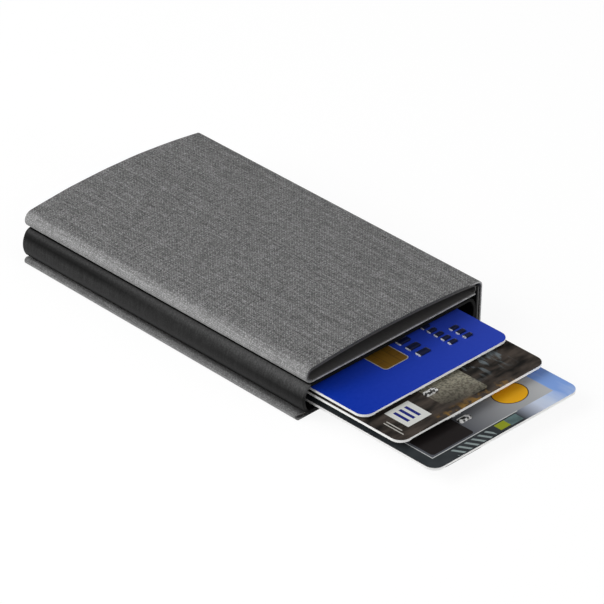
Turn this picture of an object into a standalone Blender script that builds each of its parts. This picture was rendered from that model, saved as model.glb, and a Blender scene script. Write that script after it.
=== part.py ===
# Pop-up card wallet: a flat metal card case in a folded cloth cover, with three cards pushed out.
# X runs across the wallet (spine at +X), Y along it (mouth at -Y), Z up from the table.
import math

import bmesh
import bpy
from mathutils import Matrix, Vector

for old in list(bpy.data.objects):
    bpy.data.objects.remove(old, do_unlink=True)

mm = 0.001

# Clearances
laminate_gap = 0.05 * mm     # inside a card
sheet_gap = 0.10 * mm        # between glued or sewn sheets
pin_gap = 0.15 * mm          # around the lever's pin
seat_gap = 0.30 * mm         # between pieces that rest on, or slide past, each other

# Card case: flat top and floor, bulging sides and round corners
case_length = 106.0 * mm
case_width = 63.95 * mm
case_height = 8.8 * mm
case_bulge = 6.2 * mm        # radius of its sides
case_corner = 2.4 * mm
case_wall = 1.0 * mm
case_mid_x = -0.775 * mm
edge_break = 0.15 * mm       # at the tube's two ends

# Rear end cap: a plate and a plug ring, both inside the tube
cap_plate = 1.2 * mm
cap_plug = 4.0 * mm
cap_wall = 0.8 * mm

# Cards, ID-1 format
card_long = 85.60 * mm
card_wide = 53.98 * mm
card_corner = 3.18 * mm
card_thick = 0.76 * mm
card_play_left = 2.96 * mm   # from the case's inner side to the cards' left edges
card_recess = 1.0 * mm       # how far the cards' front edges lie inside the mouth when put away
upper_card_out = 17.92 * mm
middle_card_out = 30.71 * mm
lower_card_out = 42.64 * mm
lower_card_pitch = 2.58 * mm
upper_card_pitch = 1.58 * mm
film_thick = 0.12 * mm
stripe_from_edge = 4.0 * mm
stripe_wide = 12.7 * mm
stripe_thick = 0.10 * mm
chip_from_front = 11.4 * mm
chip_from_edge = 19.4 * mm
chip_long = 11.8 * mm
chip_wide = 9.0 * mm
chip_corner = 1.2 * mm
chip_thick = 0.18 * mm

# Lever
lever_swing = math.radians(50.0)
lever_half_width = 4.0 * mm
lever_from_side = 6.9 * mm   # its pin, from the case's right side
lower_arm_start = 12.0 * mm
tab_offset = 12.0 * mm
tab_wide = 8.0 * mm
tab_stand_out = 9.0 * mm
pin_radius = 1.2 * mm

# Brake felt above and below the cards, just inside the mouth
upper_felt_thick = 0.45 * mm
lower_felt_thick = 0.40 * mm
felt_wide = 6.0 * mm
felt_from_mouth = 3.0 * mm
felt_margin = 3.0 * mm

# Cover
textile_thick = 0.5 * mm
lining_thick = 0.3 * mm
bottom_board_thick = 0.6 * mm
spine_board_thick = 0.8 * mm
pad_thick = 0.2 * mm
pad_margin = 7.0 * mm
spine_play = 0.57 * mm       # between the case and the spine board
spine_lean = 0.2 * mm        # the spine's top stands out more than its foot
top_corner = 1.8 * mm
foot_corner = 1.5 * mm
spine_rise = 3.65 * mm       # the top panel's thickness at the spine
fold_inset = 0.95 * mm       # the top panel's fold stops short of the case's side
fold_nose = 2.5 * mm
fold_rise_mouth = 4.55 * mm
fold_rise_rear = 4.80 * mm
crown_mouth = 1.42 * mm
crown_rear = 2.0 * mm
inner_short = 0.5 * mm       # the turned-under layer ends before the case's right side
sleeve_short = 1.0 * mm      # the pocket's round end begins before that layer's end
sleeve_bulge = 1.2 * mm
hem_out = 0.5 * mm           # the bottom panel's rolled edge stands out past the case at the mouth
hem_skew = 1.0 * mm          # and runs in by this much towards the rear
hem_radius = 1.0 * mm
hem_wide = 9.0 * mm
bottom_setback = 1.8 * mm    # the bottom panel's front edge, behind the mouth
board_margin = 0.6 * mm

# Where things lie
mouth_y = -case_length / 2
rear_y = case_length / 2
case_left = case_mid_x - case_width / 2
case_right = case_mid_x + case_width / 2

board_z = textile_thick + sheet_gap
lining_z = board_z + bottom_board_thick + sheet_gap
pad_z = lining_z + lining_thick + sheet_gap
case_z = pad_z + pad_thick + sheet_gap
case_mid_z = case_z + case_height / 2
case_top_z = case_z + case_height
floor_z = case_z + case_wall
roof_z = case_top_z - case_wall

cap_rear_y = rear_y - seat_gap
cap_y = cap_rear_y - cap_plate
plug_y = cap_y - cap_plug

card_left = case_left + case_wall + card_play_left
card_home_y = mouth_y + card_recess
card_home_rear_y = card_home_y + card_long
lower_card_z = floor_z + sheet_gap + lower_felt_thick + seat_gap
middle_card_z = lower_card_z + lower_card_pitch
upper_card_z = middle_card_z + upper_card_pitch

pivot_x = case_right - lever_from_side
pivot_y = card_home_rear_y + seat_gap + lever_half_width
hub_z = floor_z + seat_gap + cap_wall + seat_gap
hub_top_z = roof_z - seat_gap - cap_wall - seat_gap
upper_arm = (upper_card_out + card_recess) / lever_swing
middle_arm = (middle_card_out + card_recess) / lever_swing
lower_arm = (lower_card_out + card_recess) / lever_swing
tab_reach = rear_y + tab_stand_out - pivot_y

panel_z = case_top_z + seat_gap
panel_spine_z = panel_z + spine_rise
spine_inner_x = case_right + spine_play
spine_mid_x = spine_inner_x + spine_board_thick + sheet_gap + textile_thick
spine_top_x = spine_mid_x + spine_lean / 2
spine_foot_x = spine_mid_x - spine_lean / 2
top_centre = Vector((spine_top_x - top_corner, panel_spine_z - top_corner))
foot_centre = Vector((spine_foot_x - foot_corner, foot_corner))
fold_x = case_left + fold_inset + fold_nose
layer_end_x = case_right - inner_short
hem_x = case_left - hem_out + hem_radius
bottom_y = mouth_y + bottom_setback


# Shapes
def arc(centre, radius_x, radius_z, start, end, steps):
    points = []
    for i in range(steps + 1):
        angle = math.radians(start + (end - start) * i / steps)
        points.append((centre[0] + radius_x * math.cos(angle), centre[1] + radius_z * math.sin(angle)))
    return points


def rounded_rectangle(x0, y0, x1, y1, radius, steps):
    outline = arc((x1 - radius, y1 - radius), radius, radius, 0, 90, steps)
    outline += arc((x0 + radius, y1 - radius), radius, radius, 90, 180, steps)
    outline += arc((x0 + radius, y0 + radius), radius, radius, 180, 270, steps)
    outline += arc((x1 - radius, y0 + radius), radius, radius, 270, 360, steps)
    return outline


def finish(name, bm, origin, colour, roughness, metallic):
    bmesh.ops.recalc_face_normals(bm, faces=bm.faces)
    bmesh.ops.translate(bm, verts=bm.verts, vec=-Vector(origin))
    mesh = bpy.data.meshes.new(name)
    bm.to_mesh(mesh)
    bm.free()
    mesh.shade_smooth()
    mesh.set_sharp_from_angle(angle=math.radians(30))
    thing = bpy.data.objects.new(name, mesh)
    thing.location = origin
    bpy.context.collection.objects.link(thing)
    if colour:
        material = bpy.data.materials.new(name)
        material.use_nodes = True
        shader = material.node_tree.nodes["Principled BSDF"]
        shader.inputs["Base Color"].default_value = (*colour, 1.0)
        shader.inputs["Roughness"].default_value = roughness
        shader.inputs["Metallic"].default_value = metallic
        mesh.materials.append(material)
    else:
        thing.hide_render = True
        thing.display_type = "WIRE"
    return thing


def slab(name, outline, z0, z1, origin=(0, 0, 0), colour=None, roughness=0.5, metallic=0.0):
    """A flat outline in X and Y, extruded from z0 to z1."""
    bm = bmesh.new()
    face = bm.faces.new([bm.verts.new((x, y, z0)) for x, y in outline])
    up = bmesh.ops.extrude_face_region(bm, geom=[face])
    raised = [v for v in up["geom"] if isinstance(v, bmesh.types.BMVert)]
    bmesh.ops.translate(bm, verts=raised, vec=(0, 0, z1 - z0))
    return finish(name, bm, origin, colour, roughness, metallic)


def box(name, x0, x1, y0, y1, z0, z1, origin=(0, 0, 0), colour=None, roughness=0.5, metallic=0.0):
    outline = [(x0, y0), (x1, y0), (x1, y1), (x0, y1)]
    return slab(name, outline, z0, z1, origin, colour, roughness, metallic)


def length_of(name, sections, origin=(0, 0, 0), colour=None, roughness=0.5, metallic=0.0):
    """Sections in X and Z joined along Y. Each is its Y and a list of loops: the outline, then any hole."""
    bm = bmesh.new()
    rows = []
    for y, loops in sections:
        rows.append([[bm.verts.new((x, y, z)) for x, z in loop] for loop in loops])
    for before, after in zip(rows, rows[1:]):
        for near, far in zip(before, after):
            for i in range(len(near)):
                bm.faces.new((near[i - 1], near[i], far[i], far[i - 1]))
    for rings in (rows[0], rows[-1]):
        if len(rings) == 1:
            bm.faces.new(rings[0])
        else:
            outer, hole = rings
            for i in range(len(outer)):
                bm.faces.new((outer[i - 1], outer[i], hole[i], hole[i - 1]))
    return finish(name, bm, origin, colour, roughness, metallic)


def boolean(thing, other, operation):
    modifier = thing.modifiers.new(other.name, "BOOLEAN")
    modifier.operation = operation
    modifier.solver = "EXACT"
    modifier.object = other


corner_up = case_height / 2 - case_corner
corner_in = math.sqrt((case_bulge - case_corner) ** 2 - corner_up ** 2)
corner_turn = math.degrees(math.atan2(corner_up, corner_in))


def case_outline(inset):
    """The case's section, inset from its outer face: each side a wide arc between two round corners."""
    bulge = case_bulge - inset
    corner = case_corner - inset
    outline = []
    for middle, forward in ((case_right - case_bulge, 0), (case_left + case_bulge, 180)):
        reach = corner_in if forward == 0 else -corner_in
        lift = corner_up if forward == 0 else -corner_up
        first = (middle + reach, case_mid_z - lift)
        last = (middle + reach, case_mid_z + lift)
        side = arc((middle, case_mid_z), bulge, bulge, forward - corner_turn, forward + corner_turn, 14)
        outline += arc(first, corner, corner, forward - 90, forward - corner_turn, 6)
        outline += side[1:-1]
        outline += arc(last, corner, corner, forward + corner_turn, forward + 90, 6)
    return outline


# Case tube, its end edges broken
tube = [case_outline(0), case_outline(case_wall)]
tube_end = [case_outline(edge_break), case_outline(case_wall - edge_break)]
tube_sections = [(mouth_y, tube_end), (mouth_y + edge_break, tube),
                 (rear_y - edge_break, tube), (rear_y, tube_end)]
length_of("case_tube", tube_sections, colour=(0.024, 0.025, 0.027), roughness=0.42, metallic=0.8)

# Brake felts, glued to the roof and the floor
felt_left = case_left + case_corner + felt_margin
felt_right = case_right - case_corner - felt_margin
felt_y = mouth_y + felt_from_mouth
for name, z, thick in (("upper_felt_strip", roof_z - sheet_gap - upper_felt_thick, upper_felt_thick),
                       ("lower_felt_strip", floor_z + sheet_gap, lower_felt_thick)):
    box(name, felt_left, felt_right, felt_y, felt_y + felt_wide, z, z + thick,
        colour=(0.03, 0.03, 0.032), roughness=0.95)

# Plate and plug ring of the rear end cap, and two tongues that hold the pin above and below the lever
ring_outer = case_wall + seat_gap
plate = [case_outline(ring_outer)]
cap = length_of("rear_end_cap", [(cap_y, plate), (cap_rear_y, plate)],
                colour=(0.022, 0.022, 0.024), roughness=0.55)
ring = [case_outline(ring_outer), case_outline(ring_outer + cap_wall)]
boolean(cap, length_of("cap_ring", [(plug_y, ring), (cap_y + cap_plate / 2, ring)]), "UNION")

tongue_radius = lever_half_width - sheet_gap
tongue = arc((pivot_x, pivot_y), tongue_radius, tongue_radius, 180, 360, 16)
tongue += [(pivot_x + tongue_radius, cap_y + cap_plate / 2), (pivot_x - tongue_radius, cap_y + cap_plate / 2)]
lower_tongue_z = floor_z + seat_gap
upper_tongue_z = roof_z - seat_gap - cap_wall
for side, z in (("lower", lower_tongue_z), ("upper", upper_tongue_z)):
    boolean(cap, slab(side + "_tongue", tongue, z, z + cap_wall), "UNION")


# Pin and its holes
def round_bar(name, radius, z0, z1, **look):
    return slab(name, arc((pivot_x, pivot_y), radius, radius, 0, 345, 23), z0, z1, **look)


round_bar("lever_pivot_pin", pin_radius, lower_tongue_z, upper_tongue_z + cap_wall,
          colour=(0.56, 0.57, 0.58), roughness=0.3, metallic=1.0)
pin_hole = round_bar("pin_hole", pin_radius + pin_gap, floor_z, roof_z)
boolean(cap, pin_hole, "DIFFERENCE")

# Lever. Its arms point to -X when the cards are put away, and it is placed pushed round by its whole swing.
pivot = Vector((pivot_x, pivot_y, 0.0))


def arm(name, start, end, z0, z1, **look):
    reach = [(x + pivot_x, y + pivot_y) for x, y in
             arc((-end, 0), lever_half_width, lever_half_width, 90, 270, 20)
             + arc((-start, 0), lever_half_width, lever_half_width, 270, 450, 20)]
    return slab(name, reach, z0, z1, origin=pivot, **look)


lever = arm("eject_lever", 0.0, upper_arm, hub_z, hub_top_z, colour=(0.03, 0.03, 0.032), roughness=0.5)
middle_step = arm("middle_step", 0.0, middle_arm, hub_z, upper_card_z - seat_gap)
lower_step = arm("lower_step", lower_arm_start, lower_arm, floor_z + seat_gap, middle_card_z - seat_gap)
tab_left = pivot_x - tab_offset - tab_wide / 2
tab = rounded_rectangle(tab_left, pivot_y, tab_left + tab_wide, pivot_y + tab_reach, tab_wide * 0.3, 6)
thumb_tab = slab("thumb_tab", tab, hub_z, hub_top_z, origin=pivot)
lever_hole = round_bar("lever_hole", pin_radius + pin_gap, floor_z, roof_z, origin=pivot)
for piece in (lever, middle_step, lower_step, thumb_tab, lever_hole):
    piece.rotation_euler.z = lever_swing
for piece in (middle_step, lower_step, thumb_tab):
    boolean(lever, piece, "UNION")
boolean(lever, lever_hole, "DIFFERENCE")


# Thumb slot in the cap: as wide as the tab's corners sweep where they pass the plate
def tab_corner_at(angle, x):
    point = Vector((x - pivot_x, tab_reach))
    point.rotate(Matrix.Rotation(angle, 2))
    return point + Vector((pivot_x, pivot_y))


slot_left = tab_left
for i in range(101):
    corner = tab_corner_at(lever_swing * i / 100, tab_left)
    if corner.y > cap_y - seat_gap:
        slot_left = min(slot_left, corner.x)
slot = box("thumb_slot", slot_left - seat_gap, tab_left + tab_wide + seat_gap,
           plug_y + cap_plug / 2, rear_y + cap_plate, hub_z - seat_gap, hub_top_z + seat_gap)
boolean(cap, slot, "DIFFERENCE")


# Cards: core with a printed film on top and a magnetic stripe in a groove below
def card(name, out, z, film_colour):
    front = mouth_y - out
    origin = (card_left + card_wide / 2, front + card_long, z)
    shape = rounded_rectangle(card_left, front, card_left + card_wide, front + card_long, card_corner, 8)
    film_z = z + card_thick - film_thick
    core = slab(name + "_core", shape, z, film_z - laminate_gap, origin, (0.82, 0.82, 0.8), 0.45)
    film = slab(name + "_face", shape, film_z, z + card_thick, origin, film_colour, 0.28)
    left = card_left + stripe_from_edge
    groove = box(name + "_groove", left - laminate_gap, left + stripe_wide + laminate_gap, front - seat_gap,
                 front + card_long + seat_gap, z - seat_gap, z + stripe_thick + laminate_gap)
    boolean(core, groove, "DIFFERENCE")
    box(name + "_magnetic_stripe", left, left + stripe_wide, front, front + card_long, z, z + stripe_thick,
        origin, (0.02, 0.016, 0.014), 0.35)
    return core, film, front, origin


core, film, front, origin = card("upper_card", upper_card_out, upper_card_z, (0.012, 0.06, 0.38))
card("middle_card", middle_card_out, middle_card_z, (0.06, 0.045, 0.04))
card("lower_card", lower_card_out, lower_card_z, (0.42, 0.47, 0.52))

# Contact plate, let into the upper card
chip_x = card_left + chip_from_edge
chip_y = front + chip_from_front
chip_top_z = upper_card_z + card_thick
plate = rounded_rectangle(chip_x, chip_y, chip_x + chip_wide, chip_y + chip_long, chip_corner, 5)
slab("upper_card_contact_plate", plate, chip_top_z - chip_thick, chip_top_z, origin,
     (0.72, 0.53, 0.2), 0.3, 1.0)
pocket = rounded_rectangle(chip_x - laminate_gap, chip_y - laminate_gap, chip_x + chip_wide + laminate_gap,
                           chip_y + chip_long + laminate_gap, chip_corner + laminate_gap, 5)
chip_pocket = slab("chip_pocket", pocket, chip_top_z - chip_thick - laminate_gap, chip_top_z + seat_gap)
boolean(core, chip_pocket, "DIFFERENCE")
boolean(film, chip_pocket, "DIFFERENCE")

# Cover: one strip of cloth round the bottom, the spine and the top, folding along two lines parallel to Y.
# Each line lies on the cloth's outer side at the middle of a corner, so its two sides open away from
# each other.
top_hinge = top_centre + Vector((top_corner, top_corner)) * math.sqrt(0.5)
foot_hinge = foot_centre + Vector((foot_corner, -foot_corner)) * math.sqrt(0.5)
top_cut = math.degrees(seat_gap / 2 / top_corner)
foot_cut = math.degrees(seat_gap / 2 / foot_corner)
cloth = {"colour": (0.16, 0.16, 0.165), "roughness": 0.95}


def arch_z(x, fold_rise, crown):
    t = (top_centre.x - x) / (top_centre.x - fold_x)
    return panel_spine_z + (panel_z + fold_rise - panel_spine_z) * t + crown * (1 - (2 * t - 1) ** 2)


def arch(start_x, inset, fold_rise, crown):
    """Over the crown to the fold, round it and back to its underside, inset from the cloth's outer face."""
    points = []
    for i in range(29):
        x = start_x + (fold_x - start_x) * i / 28
        points.append((x, arch_z(x, fold_rise, crown) - inset))
    centre = (fold_x, panel_z + fold_rise / 2)
    return points + arc(centre, fold_nose - inset, fold_rise / 2 - inset, 90, 270, 16)[1:]


def top_cloth(fold_rise, crown):
    outline = []
    for inset in (0.0, textile_thick):
        radius = top_corner - inset
        side = arc(top_centre, radius, radius, 45 + top_cut, 90, 4)[:-1]
        side += arch(top_centre.x, inset, fold_rise, crown)
        side.append((layer_end_x, panel_z + inset))
        outline += side if inset == 0 else side[::-1]
    return [outline]


flap_origin = (top_hinge.x, 0.0, top_hinge.y)
length_of("top_textile", [(mouth_y, top_cloth(fold_rise_mouth, crown_mouth)),
                          (rear_y, top_cloth(fold_rise_rear, crown_rear))], origin=flap_origin, **cloth)


# Pocket sleeve: a lining tube inside the top panel, open at both ends
def sleeve(fold_rise, crown):
    loops = []
    for depth in (0.0, lining_thick):
        inset = textile_thick + sheet_gap + depth
        end_x = layer_end_x - sleeve_short
        loop = arch(end_x, inset, fold_rise, crown)
        roof = loop[0][1]
        low = panel_z + inset
        loop += arc((end_x, (roof + low) / 2), sleeve_bulge - depth, (roof - low) / 2, -90, 90, 10)[:-1]
        loops.append(loop)
    return loops


length_of("pocket_sleeve", [(mouth_y, sleeve(fold_rise_mouth, crown_mouth)),
                            (rear_y, sleeve(fold_rise_rear, crown_rear))],
          origin=flap_origin, colour=(0.07, 0.07, 0.074), roughness=0.8)

# Spine
spine_origin = (foot_hinge.x, 0.0, foot_hinge.y)
spine_cloth = []
for inset in (0.0, textile_thick):
    foot = arc(foot_centre, foot_corner - inset, foot_corner - inset, -45 + foot_cut, 0, 4)
    head = arc(top_centre, top_corner - inset, top_corner - inset, 0, 45 - top_cut, 4)
    spine_cloth += foot + head if inset == 0 else (foot + head)[::-1]
length_of("spine_textile", [(mouth_y, [spine_cloth]), (rear_y, [spine_cloth])], origin=spine_origin, **cloth)


def spine_x(z):
    t = (z - foot_centre.y) / (top_centre.y - foot_centre.y)
    return spine_foot_x + spine_lean * t - textile_thick - sheet_gap


low = foot_centre.y + board_margin
high = top_centre.y - board_margin
spine_board = [(spine_x(low), low), (spine_x(high), high), (spine_x(high) - spine_board_thick, high),
               (spine_x(low) - spine_board_thick, low)]
length_of("spine_board", [(mouth_y + board_margin, [spine_board]), (rear_y - board_margin, [spine_board])],
          origin=spine_origin, colour=(0.035, 0.035, 0.037), roughness=0.85)


# Bottom panel: cloth with a rolled hem at the open side, board, lining and the pad that holds the case
def bottom_side(roll_x, inset):
    corner = foot_corner - inset
    radius = hem_radius - inset
    path = arc(foot_centre, corner, corner, -45 - foot_cut, -90, 4)
    path += arc((roll_x, hem_radius), radius, radius, 270, 90, 18)
    hem_z = lining_z + textile_thick - inset
    path.append((roll_x + hem_radius, hem_z))
    path.append((hem_x + hem_wide, hem_z))
    return path


def bottom_cloth(roll_x):
    return [bottom_side(roll_x, 0.0) + bottom_side(roll_x, textile_thick)[::-1]]


length_of("bottom_textile", [(bottom_y, bottom_cloth(hem_x)),
                             (rear_y, bottom_cloth(hem_x + hem_skew))], **cloth)
sheet_right = foot_centre.x - seat_gap
box("bottom_board", hem_x + hem_skew + seat_gap, sheet_right,
    bottom_y + board_margin, rear_y - board_margin, board_z, board_z + bottom_board_thick,
    colour=(0.1, 0.085, 0.065), roughness=0.9)
box("bottom_lining", hem_x + hem_wide + seat_gap, sheet_right,
    bottom_y + seat_gap, rear_y - seat_gap, lining_z, lining_z + lining_thick,
    colour=(0.07, 0.07, 0.074), roughness=0.8)
box("adhesive_pad", hem_x + hem_wide + seat_gap, case_right - pad_margin,
    mouth_y + pad_margin, rear_y - pad_margin, pad_z, pad_z + pad_thick,
    colour=(0.55, 0.55, 0.52), roughness=0.7)
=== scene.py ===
import math

import bpy
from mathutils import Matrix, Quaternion, Vector, noise


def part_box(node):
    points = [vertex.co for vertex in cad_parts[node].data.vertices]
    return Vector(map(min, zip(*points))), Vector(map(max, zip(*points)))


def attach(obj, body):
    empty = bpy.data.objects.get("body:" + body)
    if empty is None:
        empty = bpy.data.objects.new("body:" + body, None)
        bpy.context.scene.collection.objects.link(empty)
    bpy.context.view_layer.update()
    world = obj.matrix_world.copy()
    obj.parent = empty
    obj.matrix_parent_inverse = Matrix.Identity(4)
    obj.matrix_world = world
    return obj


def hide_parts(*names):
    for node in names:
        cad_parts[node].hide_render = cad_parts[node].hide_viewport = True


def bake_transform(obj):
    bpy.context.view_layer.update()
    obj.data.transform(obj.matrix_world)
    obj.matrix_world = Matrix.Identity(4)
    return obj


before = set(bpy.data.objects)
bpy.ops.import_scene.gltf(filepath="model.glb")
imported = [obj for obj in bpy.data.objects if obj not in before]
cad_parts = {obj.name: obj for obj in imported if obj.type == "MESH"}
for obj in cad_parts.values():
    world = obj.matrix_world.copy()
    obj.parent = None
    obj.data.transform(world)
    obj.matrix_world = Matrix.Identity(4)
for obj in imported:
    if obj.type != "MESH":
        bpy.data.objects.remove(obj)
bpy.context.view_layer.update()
mm = 0.001
print("frame loaded:", len(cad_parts), "nodes")


# Material helpers
def addNode(tree, kind, inputs=None, **settings):
    node = tree.nodes.new(kind)
    for name, value in settings.items():
        setattr(node, name, value)
    for name, value in (inputs or {}).items():
        if isinstance(value, bpy.types.NodeSocket):
            tree.links.new(value, node.inputs[name])
        else:
            node.inputs[name].default_value = value
    return node


def calc(tree, operation, first, second=0.0, third=0.0):
    return addNode(tree, "ShaderNodeMath", {0: first, 1: second, 2: third}, operation=operation).outputs[0]


def blendColour(tree, amount, under, over):
    node = addNode(tree, "ShaderNodeMix", {0: amount, 6: under, 7: over}, data_type="RGBA")
    return node.outputs[2]


def grey(level, warmth=0.0):
    return (level * (1 + warmth), level, level * (1 - warmth), 1.0)


def newMaterial(name, roughness=0.5, metallic=0.0, specular=0.5):
    material = bpy.data.materials.new(name)
    material.use_nodes = True
    shader = material.node_tree.nodes["Principled BSDF"]
    shader.inputs["Roughness"].default_value = roughness
    shader.inputs["Metallic"].default_value = metallic
    shader.inputs["Specular IOR Level"].default_value = specular
    return material, material.node_tree, shader


def objectPlace(tree):
    return addNode(tree, "ShaderNodeTexCoord").outputs["Object"]


def millimetres(tree, place):
    scaled = addNode(tree, "ShaderNodeVectorMath", {0: place, "Scale": 1000.0}, operation="SCALE")
    split = addNode(tree, "ShaderNodeSeparateXYZ", {0: scaled.outputs[0]})
    return split.outputs[0], split.outputs[1], split.outputs[2]


def grain(tree, place, scale, detail=2.0, stretch=(1, 1, 1), turn=0.0):
    mapped = addNode(tree, "ShaderNodeMapping", {0: place, "Rotation": (0, 0, turn), "Scale": stretch})
    look = {"Vector": mapped.outputs[0], "Scale": scale, "Detail": detail}
    return addNode(tree, "ShaderNodeTexNoise", look).outputs[0]


def spread(tree, value, low, high, toLow, toHigh):
    node = addNode(tree, "ShaderNodeMapRange", {"Value": value, "From Min": low, "From Max": high,
                                                "To Min": toLow, "To Max": toHigh})
    return node.outputs[0]


def addBump(tree, shader, height, strength, distance):
    node = addNode(tree, "ShaderNodeBump", {"Height": height, "Strength": strength, "Distance": distance})
    tree.links.new(node.outputs[0], shader.inputs["Normal"])


# Finishes
clothLook = {"yarn": 0.31, "relief": 0.07, "dark": 0.035, "darkAt": 0.32, "mid": 0.138, "midAt": 0.51,
             "light": 0.42, "lightAt": 0.70}


# Rises from 0 to 1 between the first two values and falls back between the last two.
def plateau(tree, value, start, full, fade, end):
    rise = spread(tree, value, start, full, 0.0, 1.0)
    return calc(tree, "MULTIPLY", rise, spread(tree, value, fade, end, 1.0, 0.0))


# Tone along each yarn: one place counts the yarns, the other runs along them.
def yarnNoise(tree, x, y):
    place = addNode(tree, "ShaderNodeCombineXYZ", {0: x, 1: y}).outputs[0]
    look = {"Vector": place, "Scale": 1.0, "Detail": 3.0, "Roughness": 0.75}
    return addNode(tree, "ShaderNodeTexNoise", look).outputs[0]


# Melange plain weave on the sheet's own UV, which is in metres along the cloth. Between the four
# places of the painted light band, in millimetres across, the cloth is lighter by its fifth value. Before
# the two places of the painted shade it is darker by its third, and before those of matted its weave is
# fainter.
def wovenCloth(name, paintedLight=None, paintedShade=None, matted=None):
    yarn = clothLook["yarn"]
    material, tree, shader = newMaterial(name, roughness=0.92, specular=0.2)
    shader.inputs["Sheen Weight"].default_value = 0.12
    shader.inputs["Sheen Roughness"].default_value = 0.6
    place = addNode(tree, "ShaderNodeUVMap", uv_map="weave").outputs[0]
    across, along = millimetres(tree, place)[:2]
    warpNumber = calc(tree, "FLOOR", calc(tree, "DIVIDE", across, yarn))
    weftNumber = calc(tree, "FLOOR", calc(tree, "DIVIDE", along, yarn))
    over = calc(tree, "PINGPONG", calc(tree, "ADD", warpNumber, weftNumber), 1.0)
    warpTone = yarnNoise(tree, calc(tree, "MULTIPLY", warpNumber, 7.31), calc(tree, "MULTIPLY", along, 2.0))
    weftTone = yarnNoise(tree, calc(tree, "MULTIPLY", across, 2.0), calc(tree, "MULTIPLY", weftNumber, 5.17))
    fibre = grain(tree, place, 2600.0, 2.0)
    cloud = grain(tree, place, 60.0, 3.0)
    threads = grain(tree, place, 1000.0, 2.0, (1.6, 0.012, 1))
    warpSlubs = grain(tree, place, 1000.0, 1.0, (2.2, 0.22, 1))
    weftSlubs = grain(tree, place, 1000.0, 1.0, (0.22, 2.2, 1))
    tone = addNode(tree, "ShaderNodeMix", {0: over, 2: warpTone, 3: weftTone}).outputs[0]
    for pattern, low, high, swing in ((fibre, 0.3, 0.7, 0.06), (over, 0.0, 1.0, -clothLook["relief"]),
                                      (cloud, 0.3, 0.7, 0.01), (threads, 0.35, 0.65, 0.035),
                                      (warpSlubs, 0.3, 0.7, 0.045), (weftSlubs, 0.3, 0.7, 0.04)):
        tone = calc(tree, "ADD", tone, spread(tree, pattern, low, high, -swing, swing))
    if matted:
        contrast = spread(tree, across, matted[0], matted[1], matted[2], 1.0)
        tone = calc(tree, "MULTIPLY", calc(tree, "SUBTRACT", tone, clothLook["midAt"]), contrast)
        tone = calc(tree, "ADD", tone, clothLook["midAt"])
    ramp = addNode(tree, "ShaderNodeValToRGB", {0: tone})
    darkStop, lightStop = ramp.color_ramp.elements[0], ramp.color_ramp.elements[1]
    darkStop.position = clothLook["darkAt"]
    darkStop.color = grey(clothLook["dark"])
    lightStop.position = clothLook["lightAt"]
    lightStop.color = grey(clothLook["light"])
    midStop = ramp.color_ramp.elements.new(clothLook["midAt"])
    midStop.color = grey(clothLook["mid"])
    colour = ramp.outputs[0]
    # Painted light: a band across the cloth made lighter.
    if paintedLight:
        lift = calc(tree, "MULTIPLY", plateau(tree, across, *paintedLight[:4]), paintedLight[4])
        lift = addNode(tree, "ShaderNodeCombineXYZ", {0: lift, 1: lift, 2: lift}).outputs[0]
        colour = addNode(tree, "ShaderNodeVectorMath", {0: colour, 1: lift}, operation="ADD").outputs[0]
    # Painted shade: the cloth darkened before the given places.
    if paintedShade:
        factor = spread(tree, across, paintedShade[0], paintedShade[1], paintedShade[2], 1.0)
        darkened = addNode(tree, "ShaderNodeVectorMath", {0: colour, "Scale": factor}, operation="SCALE")
        colour = darkened.outputs[0]
    tree.links.new(colour, shader.inputs["Base Color"])
    ridgeU = calc(tree, "ABSOLUTE", calc(tree, "SINE", calc(tree, "MULTIPLY", across, math.pi / yarn)))
    ridgeV = calc(tree, "ABSOLUTE", calc(tree, "SINE", calc(tree, "MULTIPLY", along, math.pi / yarn)))
    height = calc(tree, "ADD", calc(tree, "MULTIPLY", ridgeU, ridgeV), calc(tree, "MULTIPLY", fibre, 0.6))
    addBump(tree, shader, height, 0.5, 0.12 * mm)
    return material


# Cut or folded edge of the cloth. Each change gives a place, in millimetres across, and the tone past it.
def clothEdge(name, tone, changes=()):
    material, tree, shader = newMaterial(name, roughness=0.95, specular=0.15)
    place = addNode(tree, "ShaderNodeUVMap", uv_map="weave").outputs[0]
    across = millimetres(tree, place)[0]
    level = tone
    for at, following in changes:
        level = calc(tree, "ADD", level, spread(tree, across, at - 1.0, at + 1.0, 0.0, following - tone))
        tone = following
    fibre = grain(tree, place, 2200.0, 3.0)
    tone = calc(tree, "MULTIPLY", level, spread(tree, fibre, 0.3, 0.7, 0.7, 1.3))
    colour = addNode(tree, "ShaderNodeCombineColor", {0: tone, 1: tone, 2: tone}).outputs[0]
    tree.links.new(colour, shader.inputs["Base Color"])
    addBump(tree, shader, fibre, 0.4, 0.08 * mm)
    return material


# Fine plain lining: a close twill that shows only as a slight grain.
def smoothLining(name, level):
    material, tree, shader = newMaterial(name, roughness=0.62, specular=0.35)
    shader.inputs["Sheen Weight"].default_value = 0.05
    place = addNode(tree, "ShaderNodeUVMap", uv_map="weave").outputs[0]
    across, along = millimetres(tree, place)[:2]
    twillPitch = 0.28
    diagonal = calc(tree, "ADD", across, along)
    twill = calc(tree, "SINE", calc(tree, "MULTIPLY", diagonal, 2 * math.pi / twillPitch))
    fibre = grain(tree, place, 1800.0, 2.0, (1, 0.25, 1))
    tone = calc(tree, "ADD", spread(tree, fibre, 0.3, 0.7, 0.25, 0.75), calc(tree, "MULTIPLY", twill, 0.12))
    colour = blendColour(tree, tone, grey(level * 0.78, 0.02), grey(level * 1.25, 0.03))
    tree.links.new(colour, shader.inputs["Base Color"])
    addBump(tree, shader, tone, 0.3, 0.04 * mm)
    return material


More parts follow.
